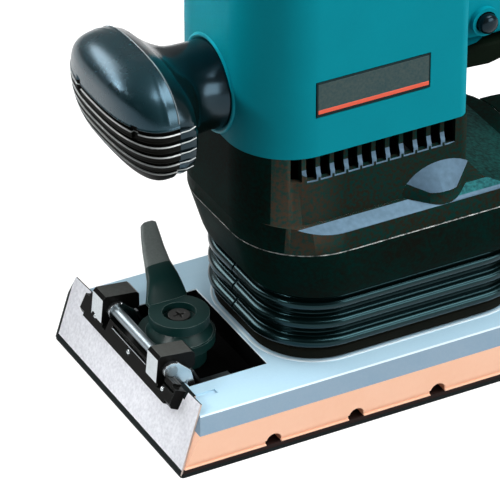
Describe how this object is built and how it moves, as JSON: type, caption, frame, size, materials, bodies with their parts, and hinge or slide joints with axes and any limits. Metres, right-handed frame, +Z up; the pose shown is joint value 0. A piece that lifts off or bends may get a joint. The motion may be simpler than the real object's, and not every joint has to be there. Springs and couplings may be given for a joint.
{
  "type": "half-sheet orbital sander",
  "caption": "Two-handed orbital sander with a half-sheet pad, lever paper clamps, a round front grip, a rear D-handle with trigger, and a dust nozzle.",
  "frame": {"origin": "centre of the sole's underside, on the work surface", "axes": "+X towards the rear handle and dust nozzle, +Y towards the right-hand side, +Z up"},
  "size_m": [0.2848, 0.121, 0.218],
  "materials": {
    "teal_shell": "moulded, semi-gloss teal",
    "black_shell": "fine moulded texture, black",
    "grip_plastic": "smooth black",
    "boot_rubber": "satin black rubber",
    "badge_plate": "dark grey with one plain stripe",
    "cast_plate": "cast and machined",
    "foam_pad": "closed-cell pad, peach",
    "pad_facing": "dark facing",
    "abrasive_paper": "pale paper back, dark grit under the sole",
    "clamp_black": "black enamel",
    "lever_black": "moulded black",
    "bright_steel": "bright plated steel",
    "spring_steel": "spring steel",
    "steel": "ground steel",
    "laminations": "stacked laminations",
    "copper_wire": "varnished copper wire",
    "commutator_copper": "copper bars",
    "brass_part": "brass",
    "carbon": "carbon",
    "black_part": "moulded black",
    "bearing_housing": "die cast",
    "counterweight_iron": "cast iron"
  },
  "bodies": {
    "housing": {"motor_housing": "teal_shell", "top_cover": "teal_shell", "skirt": "black_shell", "casing_base": "black_shell", "dust_duct": "black_shell", "dust_nozzle": "black_part", "boot": "boot_rubber", "post_front_left": "boot_rubber", "post_front_right": "boot_rubber", "post_rear_left": "boot_rubber", "post_rear_right": "boot_rubber", "grip_front": "grip_plastic", "grip_rear": "grip_plastic", "grip_bolt": "steel", "badge_left": "badge_plate", "badge_right": "badge_plate", "handle_left": "teal_shell", "handle_right": "teal_shell", "handle_liner": "black_shell", "switch_block": "black_part", "cord_bush": "boot_rubber", "trigger_pin": "steel", "stator_core": "laminations", "field_coils": "copper_wire", "upper_bracket": "black_part", "upper_bearing": "steel", "lower_bearing": "steel", "bearing_box": "bearing_housing", "brush_holder_left": "brass_part", "brush_holder_right": "brass_part", "brush_left": "carbon", "brush_right": "carbon", "cover_screws": "steel", "housing_screws": "steel", "handle_screws": "steel"},
    "rotor": {"shaft": "steel", "armature_core": "laminations", "armature_windings": "copper_wire", "commutator": "commutator_copper", "fan": "black_part", "counterweight": "counterweight_iron"},
    "base": {"base_plate": "cast_plate", "crank_bearing": "steel", "pad": "foam_pad", "pad_facing": "pad_facing", "abrasive_sheet": "abrasive_paper", "front_bracket": "bright_steel", "rear_bracket": "bright_steel", "front_rod": "bright_steel", "rear_rod": "bright_steel", "front_post": "steel", "rear_post": "steel", "front_spring": "spring_steel", "rear_spring": "spring_steel"},
    "front_lever": {"front_lever": "lever_black"},
    "rear_lever": {"rear_lever": "lever_black"},
    "front_jaw": {"front_jaw": "clamp_black"},
    "rear_jaw": {"rear_jaw": "clamp_black"},
    "trigger": {"trigger": "grip_plastic"},
    "lock_button": {"lock_button": "grip_plastic"}
  },
  "joints": [
    {"name": "rotor_spin", "type": "hinge", "parent": "housing", "child": "rotor", "pos_m": [-0.0245, 0, 0.1], "axis": [0, 0, 1], "continuous": true},
    {"name": "base_orbit", "type": "hinge", "parent": "rotor", "child": "base", "pos_m": [-0.0245, 0.0025, 0.03], "axis": [0, 0, 1], "continuous": true},
    {"name": "front_lever_turn", "type": "hinge", "parent": "base", "child": "front_lever", "pos_m": [-0.0865, 0, 0.03], "axis": [0, 0, 1], "range_deg": [0, 100]},
    {"name": "rear_lever_turn", "type": "hinge", "parent": "base", "child": "rear_lever", "pos_m": [0.0865, 0, 0.03], "axis": [0, 0, 1], "range_deg": [0, 100]},
    {"name": "front_jaw_open", "type": "hinge", "parent": "base", "child": "front_jaw", "pos_m": [-0.1045, 0, 0.0312], "axis": [0, 1, 0], "range_deg": [0, 10]},
    {"name": "rear_jaw_open", "type": "hinge", "parent": "base", "child": "rear_jaw", "pos_m": [0.1045, 0, 0.0312], "axis": [0, -1, 0], "range_deg": [0, 10]},
    {"name": "trigger_press", "type": "hinge", "parent": "housing", "child": "trigger", "pos_m": [0.0535, 0, 0.143], "axis": [0, -1, 0], "range_deg": [0, 6], "stiffness_Nm_per_rad": 0.8},
    {"name": "lock_push", "type": "slide", "parent": "housing", "child": "lock_button", "axis": [0, 1, 0], "range_m": [0, 0.0025], "stiffness_N_per_m": 400}
  ],
  "couplings": [
    {"joint": "base_orbit", "follows": "rotor_spin", "ratio": -1},
    {"joint": "front_jaw_open", "follows": "front_lever_turn", "ratio": 0.1},
    {"joint": "rear_jaw_open", "follows": "rear_lever_turn", "ratio": 0.1}
  ]
}
